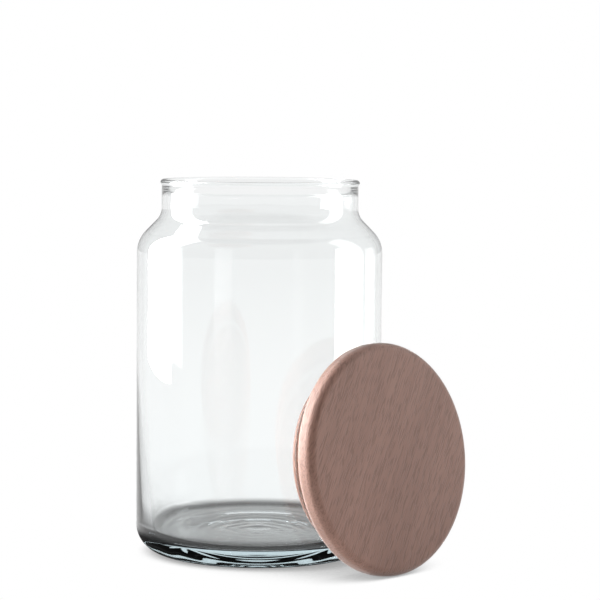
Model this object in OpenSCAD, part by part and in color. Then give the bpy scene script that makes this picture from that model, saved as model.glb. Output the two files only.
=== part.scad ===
// Storage jar for a sourdough starter: a clear glass jar with a thick base and a short straight neck,
// and a beech lid that has been taken off and leans against the jar.
// Millimetres. The jar stands on z = 0 with its axis on Z. The lid stands on z = 0 too, in front of the
// jar and to its right, and its plug rests against the glass.

/* [Jar outside] */
// Outer diameter of the straight body
body_d = 120; // [112:0.5:160]
// Height at which the straight body ends and the shoulder begins
shoulder_z = 147.2; // [115:0.1:220]
// Radius of the rounded heel between the base and the body
heel_r = 13.8; // [8:0.1:24]
// Radius of the shoulder
shoulder_r = 14.6; // [8:0.1:17]
// Angle of the shoulder's straight stretch from upright, in degrees
shoulder_angle = 44.2; // [35:0.1:50]
// Radius of the hollow where the shoulder runs up into the neck
throat_r = 8.1; // [4:0.1:12]
// Outer diameter of the neck
neck_d = 96.1; // [84:0.1:104]
// Length of the straight neck, from the shoulder's hollow to the top of the rim
neck_h = 14.1; // [10:0.1:30]
// How far the bead round the rim stands out from the neck
bead_out = 0.6; // [0.2:0.1:1.5]

/* [Glass thickness] */
// Wall of the body
body_wall = 2.6; // [2:0.1:4]
// Wall of the neck
neck_wall = 2.4; // [1.8:0.1:3.5]
// Wall just above the floor, where the glass is thickest
foot_wall = 6.8; // [4.5:0.1:9]
// Height from which the wall thickens down to the base
taper_z = 105; // [60:1:110]
// Thickness of the base, from the plane that it stands on up to the floor
base_t = 9.8; // [6:0.1:14]
// Radius between the floor and the wall inside
floor_r = 5.2; // [2:0.1:8]
// Depth of the hollow under the base
punt_h = 1.2; // [0.4:0.1:2.5]
// Width of the flat ring that the jar stands on
foot_ring_w = 6; // [3:0.5:12]

/* [Lid] */
// Diameter of the lid's disc
lid_d = 109; // [106:0.5:125]
// Thickness of the lid's disc
lid_t = 10.5; // [9:0.5:16]
// Radius of the disc's upper edge
lid_top_r = 4; // [1:0.5:4.5]
// Radius of the disc's lower edge
lid_under_r = 4; // [1:0.5:4.5]
// Depth of the plug below the disc
plug_h = 12; // [10:0.5:20]
// Gap between the plug and the neck, all round
plug_gap = 1.65; // [1.2:0.05:2]
// Radius of the plug's lower edge
plug_edge_r = 1; // [0.5:0.1:1.5]

/* [Seal] */
// Height of the seal ring
seal_h = 5; // [4:0.5:6]
// Depth of the groove that holds the seal
groove_depth = 2; // [1.5:0.1:3]
// Clearance of the seal in its groove, above and below
groove_gap = 0.1; // [0.05:0.05:0.2]
// Distance from the disc down to the groove
groove_drop = 2.9; // [2:0.1:3.4]
// How far the seal's lips reach past the neck's bore while the lid is off
lip_squeeze = 0.5; // [0.2:0.1:0.8]
// Thickness of each lip
lip_t = 0.9; // [0.6:0.1:1.2]

/* [Lid's place] */
// Lean of the lid back from upright, in degrees
lid_lean = 8.1; // [3:0.1:20]
// Direction in which the lid stands from the jar, in degrees from +X
lid_azimuth = -44.1; // [-180:0.1:180]
// Gap between the plug's edge and the glass that it leans on
lean_gap = 0.3; // [0.2:0.1:2]

/* [Hidden] */
$fn = 128;
// Steps of a circle whose centre lies far off, of which only a short arc is used
far_circle_steps = 1440;
// Where a line or an arc runs into a circle it crosses it by this much, so that they meet in one point
graze = 0.001;

body_r = body_d / 2;
neck_r = neck_d / 2;
bore_r = neck_r - neck_wall;
inner_body_r = body_r - body_wall;
inner_foot_r = body_r - foot_wall;
foot_r = body_r - heel_r;
punt_r = foot_r - foot_ring_w;
// The rim's round lip is as thick as the neck's wall and the bead together
rim_r = (neck_wall + bead_out) / 2;

// The shoulder's S-curve: two arcs and the straight stretch between them
s_curve_r = shoulder_r + throat_r;
slope_length = (body_r - neck_r - s_curve_r * (1 - cos(shoulder_angle))) / sin(shoulder_angle);
neck_z = shoulder_z + s_curve_r * sin(shoulder_angle) + slope_length * cos(shoulder_angle);
jar_h = neck_z + neck_h;
// The centres of those arcs, [radius, height]
shoulder_c = [body_r - shoulder_r, shoulder_z];
throat_c = [neck_r + throat_r, neck_z];

// Inside, the wall thickens along a long arc down to the round corner above the floor
corner_z = base_t + floor_r;
taper_curve_r = dish_radius(taper_z - corner_z, foot_wall - body_wall);
taper_c = [inner_body_r - taper_curve_r, taper_z];
corner_reach = taper_curve_r - floor_r + graze;
corner_angle = asin((corner_z - taper_z) / corner_reach);
corner_c = taper_c + along(corner_angle, corner_reach);

lid_r = lid_d / 2;
plug_r = bore_r - plug_gap;
groove_r = plug_r - groove_depth;
groove_h = seal_h + 2 * groove_gap;
band_r = bore_r - plug_gap / 2;
lip_reach_r = bore_r + lip_squeeze;

// The middle of the disc's underside when the lid leans: how far out from the jar's axis and how high,
// so that the disc's lower edge stands on z = 0 and the plug's edge lies lean_gap from the body
seat_out = body_r + lean_gap + plug_edge_r + (plug_h - plug_edge_r) * cos(lid_lean)
    + (plug_r - plug_edge_r) * sin(lid_lean);
seat_up = lid_under_r + (lid_r - lid_under_r) * cos(lid_lean) - lid_under_r * sin(lid_lean);

// A point at an angle and a distance from [0, 0]
function along(angle, length) = [length * cos(angle), length * sin(angle)];

// Radius of the arc that is depth deep over twice half_w
function dish_radius(half_w, depth) = (half_w * half_w + depth * depth) / (2 * depth);

// Angle of the normal to a line that passes c1 on one side and c2 on the other, r_sum apart in all
function crossing_angle(c1, c2, r_sum) =
    atan2(c2[1] - c1[1], c2[0] - c1[0]) - acos(r_sum / norm(c2 - c1));

// Half section of the body above from_z, the shoulder and the neck, as a solid shape: the shoulder's
// arcs keep their centres, and inset takes the glass off the shoulder's and adds it to the throat's
module bell_section(side_r, top_r, shoulder_inset, throat_inset, from_z, to_z) {
    convex_r = shoulder_r - shoulder_inset;
    hollow_r = throat_r + throat_inset;
    angle = crossing_angle(shoulder_c, throat_c, convex_r + hollow_r - 2 * graze);
    slope_start = shoulder_c + along(angle, convex_r - graze);
    slope_end = throat_c - along(angle, hollow_r - graze);
    translate([0, from_z]) square([side_r, shoulder_z - from_z]);
    intersection() {
        translate(shoulder_c) circle(convex_r);
        translate([0, shoulder_z]) square([side_r, convex_r]);
    }
    difference() {
        polygon([[0, shoulder_z], shoulder_c, slope_start, slope_end, throat_c, [0, neck_z]]);
        translate(throat_c) circle(hollow_r);
    }
    translate([0, shoulder_z]) square([top_r, to_z - shoulder_z]);
}

module outer_section() {
    punt_curve_r = dish_radius(punt_r, punt_h);
    difference() {
        union() {
            bell_section(body_r, neck_r, 0, 0, heel_r, jar_h - rim_r);
            square([foot_r, heel_r]);
            intersection() {
                translate([foot_r, heel_r]) circle(heel_r);
                square([body_r, heel_r]);
            }
            translate([bore_r + rim_r, jar_h - rim_r]) circle(rim_r);
        }
        translate([0, punt_h - punt_curve_r]) circle(punt_curve_r, $fn = far_circle_steps);
    }
}

module inner_section() {
    bell_section(inner_body_r, bore_r, body_wall, neck_wall, taper_z, jar_h);
    intersection() {
        translate(taper_c) circle(taper_curve_r, $fn = far_circle_steps);
        translate([0, corner_c[1] + floor_r * sin(corner_angle)])
            square([inner_body_r, taper_z - corner_c[1] - floor_r * sin(corner_angle)]);
    }
    translate(corner_c) circle(floor_r);
    translate([0, base_t]) square([corner_c[0], 2 * floor_r]);
}

module glass_jar() {
    color([0.86, 0.91, 0.92, 0.45])
        rotate_extrude()
            difference() {
                outer_section();
                inner_section();
            }
}

// Takes what is drawn with the disc's underside on z = 0 to where the lid leans on the jar
module leaning() {
    rotate([0, 0, lid_azimuth])
        translate([seat_out, 0, seat_up])
            rotate([0, 90 - lid_lean, 0])
                children();
}

// Half section of one rounded edge of the disc, from its axis out, between low_z and low_z + r.
// The arc's centre lies centre_up above low_z.
module disc_edge(r, low_z, centre_up) {
    intersection() {
        translate([lid_r - r, low_z + centre_up]) circle(r);
        translate([0, low_z]) square([lid_r, r]);
    }
    translate([0, low_z]) square([lid_r - r, r]);
}

module lid_disc() {
    color([0.60, 0.47, 0.41])
        leaning()
            rotate_extrude() {
                disc_edge(lid_under_r, 0, lid_under_r);
                translate([0, lid_under_r]) square([lid_r, lid_t - lid_top_r - lid_under_r]);
                disc_edge(lid_top_r, lid_t - lid_top_r, 0);
            }
}

module lid_plug() {
    color([0.66, 0.52, 0.45])
        leaning()
            rotate_extrude()
                difference() {
                    union() {
                        translate([0, -plug_h]) square([plug_r - plug_edge_r, plug_h]);
                        translate([0, plug_edge_r - plug_h]) square([plug_r, plug_h - plug_edge_r]);
                        translate([plug_r - plug_edge_r, plug_edge_r - plug_h]) circle(plug_edge_r);
                    }
                    translate([groove_r, -groove_drop - groove_h]) square([groove_depth + 1, groove_h]);
                }
}

module lid_seal() {
    low_z = -groove_drop - groove_gap - seal_h;
    color([0.93, 0.93, 0.92])
        leaning()
            rotate_extrude() {
                translate([groove_r, low_z]) square([band_r - groove_r, seal_h]);
                for (lip_z = [low_z, low_z + seal_h - lip_t]) {
                    translate([groove_r, lip_z]) square([lip_reach_r - lip_t / 2 - groove_r, lip_t]);
                    translate([lip_reach_r - lip_t / 2, lip_z + lip_t / 2]) circle(lip_t / 2);
                }
            }
}

glass_jar();
lid_disc();
lid_plug();
lid_seal();
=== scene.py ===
"""A clear glass storage jar for a sourdough starter, with its beech lid off and leaning against it.

Metres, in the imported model's frame: the jar stands on z = 0 with its axis on Z. The dimensions of the jar
and the lid are in millimetres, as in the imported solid, and so is the camera's place.
"""
import math

import bmesh
import bpy
from mathutils import Matrix, Vector


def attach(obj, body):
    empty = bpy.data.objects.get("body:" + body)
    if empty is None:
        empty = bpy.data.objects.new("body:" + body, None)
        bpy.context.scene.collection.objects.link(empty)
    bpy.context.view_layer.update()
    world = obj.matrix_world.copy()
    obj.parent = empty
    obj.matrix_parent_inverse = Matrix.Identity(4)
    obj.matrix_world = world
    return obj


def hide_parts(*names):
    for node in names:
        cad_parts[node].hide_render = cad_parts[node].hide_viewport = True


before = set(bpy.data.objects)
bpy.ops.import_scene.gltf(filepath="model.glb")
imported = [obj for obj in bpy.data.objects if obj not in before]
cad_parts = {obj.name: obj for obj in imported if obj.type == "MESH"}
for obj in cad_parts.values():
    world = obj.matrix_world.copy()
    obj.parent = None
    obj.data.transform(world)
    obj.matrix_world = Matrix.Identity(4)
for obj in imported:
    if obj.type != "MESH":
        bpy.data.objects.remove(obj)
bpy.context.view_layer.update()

MM = 0.001
scene = bpy.context.scene

# Jar outside
BODY_R = 60.0
SHOULDER_Z = 147.2
HEEL_R = 13.8
SHOULDER_R = 14.6
SHOULDER_ANGLE = math.radians(44.2)
THROAT_R = 8.1
NECK_R = 48.05
NECK_H = 14.1
BEAD_OUT = 0.6
PUNT_H = 1.2
FOOT_RING_W = 6.0

# Glass thickness, and the relief of the pressed floor
BODY_WALL = 2.6
NECK_WALL = 2.4
FOOT_WALL = 6.8
TAPER_Z = 105.0
BASE_T = 9.8
FLOOR_R = 5.2
RING_H = 0.05
RING_SPACING = 6.3
RINGS_FROM_AXIS = 22
RINGS_WIDTH = 18
RINGS_FADE_R = 4
MARK_H = 0.35
MARK_R = 4.5

# Lid
LID_R = 54.5
LID_T = 10.5
LID_EDGE_R = 4.0
PLUG_H = 12.0
PLUG_GAP = 1.65
PLUG_EDGE_R = 1.0
GROOVE_DEPTH = 2.0
GROOVE_DROP = 2.9
SEAL_H = 5.0
SEAL_GAP = 0.1
LIP_SQUEEZE = 0.5
LIP_T = 0.9
LID_LEAN = math.radians(8.1)
LID_AZIMUTH = math.radians(-44.1)
LEAN_GAP = 0.3

# Steps round the axis, along straight walls, and along round stretches of a half section
AROUND = 256
WALL_STEPS = 24
TAPER_STEPS = 40
PUNT_STEPS = 24
HEEL_STEPS = 30
SHOULDER_STEPS = 16
THROAT_STEPS = 12
RIM_STEPS = 20
CORNER_STEPS = 14
FLOOR_STEPS = 60
UPPER_WALL_STEPS = 8
FACE_STEPS = 8
DISC_EDGE_STEPS = 14
PLUG_EDGE_STEPS = 6
LIP_STEPS = 8
# Height of the neck's inner ring above the shoulder's hollow
NECK_RING_UP = 6
# A point of a half section nearer to the axis than this is on it
ON_AXIS = 1e-6

# Glass: linear colours, the absorption's density a metre, and the ripple of its surface
GLASS_FACE = (0.985, 0.992, 0.99, 1)
GLASS_BODY = (0.78, 0.87, 0.90, 1)
GLASS_DENSITY = 18.0
GLASS_IOR = 1.51
RIPPLE_SCALE = 45
RIPPLE_DETAIL = 1
RIPPLE_STRENGTH = 0.05
RIPPLE_H = 0.0005

# Beech, as linear colours
BEECH_PALE = (0.47, 0.258, 0.197)
BEECH_DARK = (0.405, 0.218, 0.165)
BEECH_STREAK = (0.31, 0.165, 0.125)
BEECH_FLECK = (0.20, 0.098, 0.073)
BEECH_SPECULAR = 0.5
BEECH_SHEEN = 0.7
BEECH_SHEEN_ROUGHNESS = 0.4
BEECH_ROUGHNESS = 0.42
# Noise of the beech's grain: cells a metre along and across it, and their detail
BANDS = (6, 120, 3)
STREAKS = (22, 900, 2)
FLECKS = (190, 1700, 0)
PORES = (1200, 5000, 1)
# Values of that noise between which a colour, or a fleck's dent, fades in
BAND_FADE = (0.25, 0.75)
STREAK_FADE = (0.45, 0.75)
FLECK_FADE = (0.52, 0.64)
DENT_FADE = (0.52, 0.66)
# What the streaks and flecks do to the colour, the roughness and the relief
STREAK_STRENGTH = 0.5
FLECK_STRENGTH = 0.40
STREAK_ROUGHNESS = 0.2
STREAK_RELIEF = 0.4
PORE_RELIEF = 0.3
RELIEF_STRENGTH = 0.6
RELIEF_H = 0.00012
# Direction of the lid's grain on its face, in degrees from the direction that points down the lean
GRAIN_TURN = -33

# Silicone
SILICONE_TINT = (0.93, 0.88, 0.84, 1)
SILICONE_IOR = 1.41
SILICONE_CLEARNESS = 0.9
SILICONE_ROUGHNESS = 0.3
MOTTLE_SCALE = 400
MOTTLE_ROUGHNESS = 0.2

# The photograph's camera: its place, its angles in degrees, its lens, and how far it sees in metres
CAMERA_AT = (19.892, -1154.2, 216.414)
CAMERA_PITCH = 4.579
CAMERA_ROLL = 0.47
CAMERA_LENS = 141.68
SENSOR_WIDTH = 36
VIEW_END = 20

# Two upright soft boxes, one at each side of the jar and facing inwards, in metres and watts
LEFT_BOX = {"place": (-0.8, 0.23, 0.5), "width": 0.58, "height": 1.5, "power": 49.0}
RIGHT_BOX = {"place": (0.8, 0.15, 0.4), "width": 0.32, "height": 1.2, "power": 3.3}

# The studio's level in front of the jar, behind it, and as it is seen through the glass. It rises from the
# first to the second between two values of a direction's Y.
FRONT_LEVEL = 0.10
BACK_LEVEL = 0.45
FAR_LEVEL = 0.92
DARK_TO_Y = -0.75
LIGHT_FROM_Y = 0.1

# Floor: the reach of the shadow beside what stands on it, and the openness at which it is deepest and gone
FLOOR_SIZE = 6.0
FLOOR_SIDES = 96
FLOOR_GREY = (0.6, 0.6, 0.6, 1)
SHADOW_REACH = 0.10
SHADOW_SAMPLES = 8
SHADOW_DEEPEST = 0.05
SHADOW_GONE = 0.45
SHADOW_LEVEL = 0.35
# The floor as the glass shows it, by the distance from the jar's axis: a painted shadow round the jar's foot,
# darkest up to UNDER_JAR and white from PAST_JAR on, then greying towards the studio's level from GREY_FROM
# to GREY_TO
UNDER_JAR = 0.066
PAST_JAR = 0.105
UNDER_LEVEL = 0.05
GREY_FROM = 0.15
GREY_TO = 2.0

# Worked out from these: the shoulder's S-curve, where the neck begins, and the rim's, plug's and seal's sizes
S_CURVE_R = SHOULDER_R + THROAT_R
SLOPE_W = BODY_R - NECK_R - S_CURVE_R * (1 - math.cos(SHOULDER_ANGLE))
SLOPE_LENGTH = SLOPE_W / math.sin(SHOULDER_ANGLE)
NECK_Z = SHOULDER_Z + S_CURVE_R * math.sin(SHOULDER_ANGLE) + SLOPE_LENGTH * math.cos(SHOULDER_ANGLE)
JAR_H = NECK_Z + NECK_H
RIM_R = (NECK_WALL + BEAD_OUT) / 2
BORE_R = NECK_R - NECK_WALL
INNER_R = BODY_R - BODY_WALL
PLUG_R = BORE_R - PLUG_GAP
GROOVE_R = PLUG_R - GROOVE_DEPTH
GROOVE_H = SEAL_H + 2 * SEAL_GAP
BAND_R = BORE_R - PLUG_GAP / 2
LIP_REACH_R = BORE_R + LIP_SQUEEZE


def arc(cx, cz, r, start, end, steps):
    """Points of an arc in the half section, angles in degrees from the outward direction."""
    angles = [math.radians(start + (end - start) * i / steps) for i in range(steps + 1)]
    return [(cx + r * math.cos(a), cz + r * math.sin(a)) for a in angles]


def face_rings(r, z):
    """Points across a round face, from near its axis out to three quarters of its radius."""
    return [(r * i / FACE_STEPS, z) for i in range(1, FACE_STEPS - 1)]


def dish_radius(half_w, depth):
    """Radius of the arc that is depth deep over twice half_w."""
    return (half_w ** 2 + depth ** 2) / (2 * depth)


def slope(convex_r, hollow_r):
    """Angle of the shoulder's straight stretch when its two arcs have these radii."""
    dx = NECK_R + THROAT_R - (BODY_R - SHOULDER_R)
    dz = NECK_Z - SHOULDER_Z
    return math.degrees(math.atan2(dz, dx) - math.acos((convex_r + hollow_r) / math.hypot(dx, dz)))


def outer_profile():
    """The jar's outside, from the middle of the hollow under the base up over the rim to its bore."""
    punt_r = BODY_R - HEEL_R - FOOT_RING_W
    dish = dish_radius(punt_r, PUNT_H)
    points = []
    for i in range(PUNT_STEPS + 1):
        r = punt_r * i / PUNT_STEPS
        points.append((r, max(PUNT_H - dish + math.sqrt(dish ** 2 - r ** 2), 0)))
    points += arc(BODY_R - HEEL_R, HEEL_R, HEEL_R, -90, 0, HEEL_STEPS)
    rise = SHOULDER_Z - HEEL_R
    points += [(BODY_R, HEEL_R + rise * i / WALL_STEPS) for i in range(1, WALL_STEPS)]
    a = slope(SHOULDER_R, THROAT_R)
    points += arc(BODY_R - SHOULDER_R, SHOULDER_Z, SHOULDER_R, 0, a, SHOULDER_STEPS)
    points += arc(NECK_R + THROAT_R, NECK_Z, THROAT_R, 180 + a, 180, THROAT_STEPS)
    bead_low = JAR_H - RIM_R - math.sqrt(RIM_R ** 2 - (RIM_R - BEAD_OUT) ** 2)
    points.append((NECK_R, (NECK_Z + bead_low) / 2))
    dip = math.degrees(math.acos((RIM_R - BEAD_OUT) / RIM_R))
    points += arc(BORE_R + RIM_R, JAR_H - RIM_R, RIM_R, -dip, 180, RIM_STEPS)
    return points


def inner_profile():
    """The jar's inside, from the neck's bore down to the middle of the floor."""
    inner_shoulder = SHOULDER_R - BODY_WALL
    inner_throat = THROAT_R + NECK_WALL
    a = slope(inner_shoulder, inner_throat)
    points = [(BORE_R, NECK_Z + NECK_RING_UP)]
    points += arc(NECK_R + THROAT_R, NECK_Z, inner_throat, 180, 180 + a, THROAT_STEPS)
    points += arc(BODY_R - SHOULDER_R, SHOULDER_Z, inner_shoulder, a, 0, SHOULDER_STEPS)
    corner_z = BASE_T + FLOOR_R
    taper_r = dish_radius(TAPER_Z - corner_z, FOOT_WALL - BODY_WALL)
    corner_angle = math.asin((corner_z - TAPER_Z) / (taper_r - FLOOR_R))
    corner_r = INNER_R - taper_r + (taper_r - FLOOR_R) * math.cos(corner_angle)
    turn = math.degrees(corner_angle)
    fall = SHOULDER_Z - TAPER_Z
    points += [(INNER_R, SHOULDER_Z - fall * i / UPPER_WALL_STEPS) for i in range(1, UPPER_WALL_STEPS)]
    points += arc(INNER_R - taper_r, TAPER_Z, taper_r, 0, turn, TAPER_STEPS)
    points += arc(corner_r, corner_z, FLOOR_R, turn, -90, CORNER_STEPS)[1:]
    for i in range(1, FLOOR_STEPS + 1):
        r = corner_r * (1 - i / FLOOR_STEPS)
        points.append((r, BASE_T + floor_relief(r)))
    return points


def floor_relief(r):
    """Height of the pressed floor's faint rings and of the mark in its middle."""
    fade = math.exp(-((r - RINGS_FROM_AXIS) / RINGS_WIDTH) ** 2)
    rings = RING_H * math.sin(2 * math.pi * r / RING_SPACING) * fade
    mark = MARK_H * math.exp(-(r / MARK_R) ** 2)
    return rings * min(1, r / RINGS_FADE_R) + mark


def lathe(name, profile, matrix=Matrix.Identity(4)):
    """A closed turned mesh from a half section that starts and ends on its axis, or closes on itself."""
    mesh = bmesh.new()
    starts_on_axis = profile[0][0] < ON_AXIS
    rings = []
    for r, z in profile:
        if r < ON_AXIS:
            rings.append([mesh.verts.new(Vector((0, 0, z)) * MM)])
            continue
        ring = []
        for i in range(AROUND):
            t = 2 * math.pi * i / AROUND
            ring.append(mesh.verts.new(Vector((r * math.cos(t), r * math.sin(t), z)) * MM))
        rings.append(ring)
    pairs = list(zip(rings, rings[1:]))
    if not starts_on_axis:
        pairs.append((rings[-1], rings[0]))
    for a, b in pairs:
        for i in range(AROUND):
            j = (i + 1) % AROUND
            if len(a) == 1:
                corners = [a[0], b[j], b[i]]
            elif len(b) == 1:
                corners = [a[i], a[j], b[0]]
            else:
                corners = [a[i], a[j], b[j], b[i]]
            mesh.faces.new(corners)
    bmesh.ops.recalc_face_normals(mesh, faces=mesh.faces)
    data = bpy.data.meshes.new(name)
    mesh.to_mesh(data)
    mesh.free()
    data.transform(matrix)
    piece = bpy.data.objects.new(name, data)
    scene.collection.objects.link(piece)
    for polygon in data.polygons:
        polygon.use_smooth = True
    return piece


def lid_place():
    """The matrix that takes what is drawn with the disc's underside on z = 0 to where the lid leans."""
    edge = PLUG_R - PLUG_EDGE_R
    out = BODY_R + LEAN_GAP + PLUG_EDGE_R + (PLUG_H - PLUG_EDGE_R) * math.cos(LID_LEAN)
    out += edge * math.sin(LID_LEAN)
    up = LID_EDGE_R + (LID_R - LID_EDGE_R) * math.cos(LID_LEAN) - LID_EDGE_R * math.sin(LID_LEAN)
    turn = Matrix.Rotation(LID_AZIMUTH, 4, "Z")
    seat = Matrix.Translation(Vector((out, 0, up)) * MM)
    tilt = Matrix.Rotation(math.pi / 2 - LID_LEAN, 4, "Y")
    return turn @ seat @ tilt


class Nodes:
    """A node tree, with short ways to add and link nodes."""

    def __init__(self, tree, output_kind):
        self.tree = tree
        self.tree.nodes.clear()
        self.output = self.add(output_kind)

    def add(self, kind, inputs=None, **settings):
        """A node with these settings and these values in its sockets."""
        node = self.tree.nodes.new(kind)
        for key, value in settings.items():
            setattr(node, key, value)
        for key, value in (inputs or {}).items():
            node.inputs[key].default_value = value
        return node

    def link(self, source, target):
        self.tree.links.new(source, target)

    def put(self, socket, given):
        """Sets a socket to a number or a colour, or links it to another socket."""
        if isinstance(given, (int, float)):
            socket.default_value = given
        elif isinstance(given, tuple):
            socket.default_value = (*given, 1)
        else:
            self.link(given, socket)

    def value(self, operation, a, b):
        """The result of a sum on two numbers or sockets."""
        node = self.add("ShaderNodeMath", operation=operation)
        self.put(node.inputs[0], a)
        self.put(node.inputs[1], b)
        return node.outputs[0]

    def blend(self, factor, low, high):
        """A colour between low and high."""
        node = self.add("ShaderNodeMix", data_type="RGBA")
        self.put(node.inputs[0], factor)
        self.put(node.inputs[6], low)
        self.put(node.inputs[7], high)
        return node.outputs[2]

    def choose(self, factor, low, high):
        """A number between low and high."""
        node = self.add("ShaderNodeMix", data_type="FLOAT")
        self.put(node.inputs[0], factor)
        self.put(node.inputs[2], low)
        self.put(node.inputs[3], high)
        return node.outputs[0]

    def ramp(self, factor, low, high, start=0.0, end=1.0, kind="SMOOTHSTEP"):
        """start below low, end above high, and a ramp of this kind between."""
        node = self.add("ShaderNodeMapRange", interpolation_type=kind)
        for socket, given in zip(node.inputs, (factor, low, high, start, end)):
            self.put(socket, given)
        return node.outputs[0]


def new_material(name):
    """An empty material and its nodes."""
    material = bpy.data.materials.new(name)
    material.use_nodes = True
    return material, Nodes(material.node_tree, "ShaderNodeOutputMaterial")


def glass_material():
    """Clear, polished glass with a faint grey-green body and a slightly rippled surface."""
    material, n = new_material("clear_glass")
    shader = n.add("ShaderNodeBsdfPrincipled", {
        "Base Color": GLASS_FACE,
        "Roughness": 0.0,
        "IOR": GLASS_IOR,
        "Transmission Weight": 1.0,
    })
    place = n.add("ShaderNodeTexCoord")
    ripple = n.add("ShaderNodeTexNoise", {"Scale": RIPPLE_SCALE, "Detail": RIPPLE_DETAIL})
    n.link(place.outputs["Object"], ripple.inputs["Vector"])
    bump = n.add("ShaderNodeBump", {"Strength": RIPPLE_STRENGTH, "Distance": RIPPLE_H})
    n.link(ripple.outputs[0], bump.inputs["Height"])
    n.link(bump.outputs[0], shader.inputs["Normal"])
    body = n.add("ShaderNodeVolumeAbsorption", {"Color": GLASS_BODY, "Density": GLASS_DENSITY})
    n.link(shader.outputs[0], n.output.inputs["Surface"])
    n.link(body.outputs[0], n.output.inputs["Volume"])
    return material


def stretched(n, grain, noise_kind):
    """Noise that is drawn out along the grain."""
    along, across, detail = noise_kind
    fit = n.add("ShaderNodeVectorMath", operation="MULTIPLY")
    n.link(grain, fit.inputs[0])
    fit.inputs[1].default_value = (along, across, across)
    noise = n.add("ShaderNodeTexNoise", {"Scale": 1, "Detail": detail})
    n.link(fit.outputs[0], noise.inputs["Vector"])
    return noise.outputs[0]


def beech_material(turn):
    """Steamed beech: the grain and its short dark flecks run along the turn's first column."""
    material, n = new_material("beech")
    shader = n.add("ShaderNodeBsdfPrincipled", {
        "Specular IOR Level": BEECH_SPECULAR,
        "Sheen Weight": BEECH_SHEEN,
        "Sheen Roughness": BEECH_SHEEN_ROUGHNESS,
    })
    place = n.add("ShaderNodeTexCoord")
    grain = n.add("ShaderNodeCombineXYZ")
    for direction, socket in zip(turn.col, grain.inputs):
        part = n.add("ShaderNodeVectorMath", operation="DOT_PRODUCT")
        n.link(place.outputs["Object"], part.inputs[0])
        part.inputs[1].default_value = direction
        n.link(part.outputs["Value"], socket)
    bands, streaks, flecks, pores = (
        stretched(n, grain.outputs[0], kind) for kind in (BANDS, STREAKS, FLECKS, PORES)
    )
    wood = n.blend(n.ramp(bands, *BAND_FADE), BEECH_DARK, BEECH_PALE)
    streak = n.value("MULTIPLY", n.ramp(streaks, *STREAK_FADE), STREAK_STRENGTH)
    wood = n.blend(streak, wood, BEECH_STREAK)
    fleck = n.value("MULTIPLY", n.ramp(flecks, *FLECK_FADE), FLECK_STRENGTH)
    wood = n.blend(fleck, wood, BEECH_FLECK)
    n.link(wood, shader.inputs["Base Color"])
    rough = n.value("ADD", n.value("MULTIPLY", streaks, STREAK_ROUGHNESS), BEECH_ROUGHNESS)
    n.link(rough, shader.inputs["Roughness"])
    raised = n.value("MULTIPLY", streaks, STREAK_RELIEF)
    relief = n.value("SUBTRACT", raised, n.ramp(flecks, *DENT_FADE))
    relief = n.value("ADD", relief, n.value("MULTIPLY", pores, PORE_RELIEF))
    bump = n.add("ShaderNodeBump", {"Strength": RELIEF_STRENGTH, "Distance": RELIEF_H})
    n.link(relief, bump.inputs["Height"])
    n.link(bump.outputs[0], shader.inputs["Normal"])
    n.link(shader.outputs[0], n.output.inputs["Surface"])
    return material


def silicone_material():
    """Translucent food silicone with a satin surface, through which the beech shows."""
    material, n = new_material("silicone")
    shader = n.add("ShaderNodeBsdfPrincipled", {
        "Base Color": SILICONE_TINT,
        "Transmission Weight": SILICONE_CLEARNESS,
        "IOR": SILICONE_IOR,
    })
    place = n.add("ShaderNodeTexCoord")
    mottle = n.add("ShaderNodeTexNoise", {"Scale": MOTTLE_SCALE})
    n.link(place.outputs["Object"], mottle.inputs["Vector"])
    rough = n.value("ADD", n.value("MULTIPLY", mottle.outputs[0], MOTTLE_ROUGHNESS), SILICONE_ROUGHNESS)
    n.link(rough, shader.inputs["Roughness"])
    n.link(shader.outputs[0], n.output.inputs["Surface"])
    return material


def build_jar():
    piece = lathe("jar_glass", outer_profile() + inner_profile())
    piece.data.materials.append(glass_material())
    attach(piece, "jar")
    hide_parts("glass_jar")


def build_disc(place, wood):
    disc = [(0, 0)] + face_rings(LID_R, 0)
    disc += arc(LID_R - LID_EDGE_R, LID_EDGE_R, LID_EDGE_R, -90, 0, DISC_EDGE_STEPS)
    disc += arc(LID_R - LID_EDGE_R, LID_T - LID_EDGE_R, LID_EDGE_R, 0, 90, DISC_EDGE_STEPS)
    disc += face_rings(LID_R, LID_T)[::-1] + [(0, LID_T)]
    piece = lathe("lid_disc_beech", disc, place)
    piece.data.materials.append(wood)
    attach(piece, "lid")
    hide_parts("lid_disc")


def build_plug(place, wood):
    groove_low = -GROOVE_DROP - GROOVE_H
    plug = [(0, -PLUG_H)] + face_rings(PLUG_R, -PLUG_H)
    plug += arc(PLUG_R - PLUG_EDGE_R, PLUG_EDGE_R - PLUG_H, PLUG_EDGE_R, -90, 0, PLUG_EDGE_STEPS)
    plug += [(PLUG_R, groove_low), (GROOVE_R, groove_low)]
    plug += [(GROOVE_R, -GROOVE_DROP), (PLUG_R, -GROOVE_DROP), (PLUG_R, 0)]
    plug += face_rings(PLUG_R, 0)[::-1] + [(0, 0)]
    piece = lathe("lid_plug_beech", plug, place)
    piece.data.materials.append(wood)
    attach(piece, "lid")
    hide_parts("lid_plug")


def build_seal(place):
    low = -GROOVE_DROP - SEAL_GAP - SEAL_H
    high = low + SEAL_H
    lip_c = LIP_REACH_R - LIP_T / 2
    seal = [(GROOVE_R, low)]
    seal += arc(lip_c, low + LIP_T / 2, LIP_T / 2, -90, 90, LIP_STEPS)
    seal += [(BAND_R, low + LIP_T), (BAND_R, high - LIP_T)]
    seal += arc(lip_c, high - LIP_T / 2, LIP_T / 2, -90, 90, LIP_STEPS)
    seal.append((GROOVE_R, high))
    piece = lathe("lid_seal_silicone", seal, place)
    piece.data.materials.append(silicone_material())
    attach(piece, "lid")
    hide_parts("lid_seal")


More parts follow.
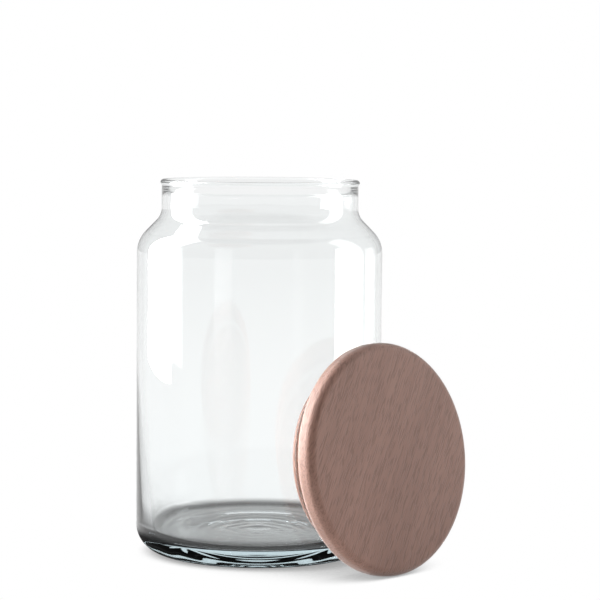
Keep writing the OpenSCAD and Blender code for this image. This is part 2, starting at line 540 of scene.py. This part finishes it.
def build_lid():
    place = lid_place()
    wood = beech_material(place.to_3x3() @ Matrix.Rotation(math.radians(GRAIN_TURN), 3, "Z"))
    build_disc(place, wood)
    build_plug(place, wood)
    build_seal(place)


def build_camera():
    """The photograph's camera: in front of the jar, a little to its right, higher up and tilted down."""
    data = bpy.data.cameras.new("camera")
    data.lens = CAMERA_LENS
    data.sensor_width = SENSOR_WIDTH
    data.clip_end = VIEW_END
    camera = bpy.data.objects.new("camera", data)
    scene.collection.objects.link(camera)
    look = Matrix.Rotation(math.pi / 2 - math.radians(CAMERA_PITCH), 4, "X")
    roll = Matrix.Rotation(math.radians(CAMERA_ROLL), 4, "Z")
    camera.matrix_world = Matrix.Translation(Vector(CAMERA_AT) * MM) @ look @ roll
    scene.camera = camera


def soft_box(name, place, width, height, power):
    """An upright rectangular lamp that faces the plane through the jar's axis."""
    data = bpy.data.lights.new(name, "AREA")
    data.shape = "RECTANGLE"
    data.size = width
    data.size_y = height
    data.energy = power
    lamp = bpy.data.objects.new(name, data)
    lamp.location = place
    lamp.rotation_euler = Vector((-place[0], 0, 0)).to_track_quat("-Z", "Y").to_euler()
    scene.collection.objects.link(lamp)


def build_light():
    """Tall soft boxes at the left and right, behind the jar's axis, in a studio that is dark in front."""
    soft_box("box_left", **LEFT_BOX)
    soft_box("box_right", **RIGHT_BOX)
    world = bpy.data.worlds.new("studio")
    world.use_nodes = True
    scene.world = world
    n = Nodes(world.node_tree, "ShaderNodeOutputWorld")
    place = n.add("ShaderNodeTexCoord")
    split = n.add("ShaderNodeSeparateXYZ")
    n.link(place.outputs["Generated"], split.inputs[0])
    studio = n.ramp(split.outputs["Y"], DARK_TO_Y, LIGHT_FROM_Y, FRONT_LEVEL, BACK_LEVEL)
    path = n.add("ShaderNodeLightPath")
    through = n.choose(path.outputs["Is Transmission Ray"], studio, FAR_LEVEL)
    seen = n.choose(path.outputs["Is Camera Ray"], through, 1.0)
    light = n.add("ShaderNodeBackground", {"Color": (1, 1, 1, 1)})
    n.link(seen, light.inputs["Strength"])
    n.link(light.outputs[0], n.output.inputs["Surface"])


def floor_material():
    """White, darker under and beside what stands on it; the glass sees a painted shadow round the jar and
    grey far off.
    """
    material, n = new_material("floor")
    shade = n.add("ShaderNodeAmbientOcclusion", {"Distance": SHADOW_REACH}, samples=SHADOW_SAMPLES)
    open_air = shade.outputs["AO"]
    shadow = n.ramp(open_air, SHADOW_DEEPEST, SHADOW_GONE, SHADOW_LEVEL, kind="LINEAR")
    place = n.add("ShaderNodeTexCoord")
    reach = n.add("ShaderNodeVectorMath", operation="LENGTH")
    n.link(place.outputs["Object"], reach.inputs[0])
    distance = reach.outputs["Value"]
    # Painted shadow: a dark disc round the jar's axis, as the glass shows the floor
    painted_shadow_disc = n.ramp(distance, UNDER_JAR, PAST_JAR, UNDER_LEVEL)
    far = n.ramp(distance, GREY_FROM, GREY_TO, 1.0, FAR_LEVEL, kind="LINEAR")
    in_glass = n.value("MULTIPLY", far, painted_shadow_disc)
    path = n.add("ShaderNodeLightPath")
    level = n.choose(path.outputs["Is Camera Ray"], in_glass, shadow)
    white = n.add("ShaderNodeEmission")
    n.link(level, white.inputs["Strength"])
    plain = n.add("ShaderNodeBsdfDiffuse", {"Color": FLOOR_GREY})
    sent = n.value("MAXIMUM", path.outputs["Is Camera Ray"], path.outputs["Is Transmission Ray"])
    sent = n.value("MAXIMUM", sent, path.outputs["Is Glossy Ray"])
    mix = n.add("ShaderNodeMixShader")
    n.link(sent, mix.inputs[0])
    n.link(plain.outputs[0], mix.inputs[1])
    n.link(white.outputs[0], mix.inputs[2])
    n.link(mix.outputs[0], n.output.inputs["Surface"])
    return material


def build_floor():
    mesh = bmesh.new()
    bmesh.ops.create_circle(mesh, cap_ends=True, segments=FLOOR_SIDES, radius=FLOOR_SIZE)
    data = bpy.data.meshes.new("floor")
    mesh.to_mesh(data)
    mesh.free()
    data.materials.append(floor_material())
    floor = bpy.data.objects.new("floor", data)
    scene.collection.objects.link(floor)


build_camera()
build_light()
build_floor()
build_jar()
build_lid()

scene.view_settings.view_transform = "Standard"
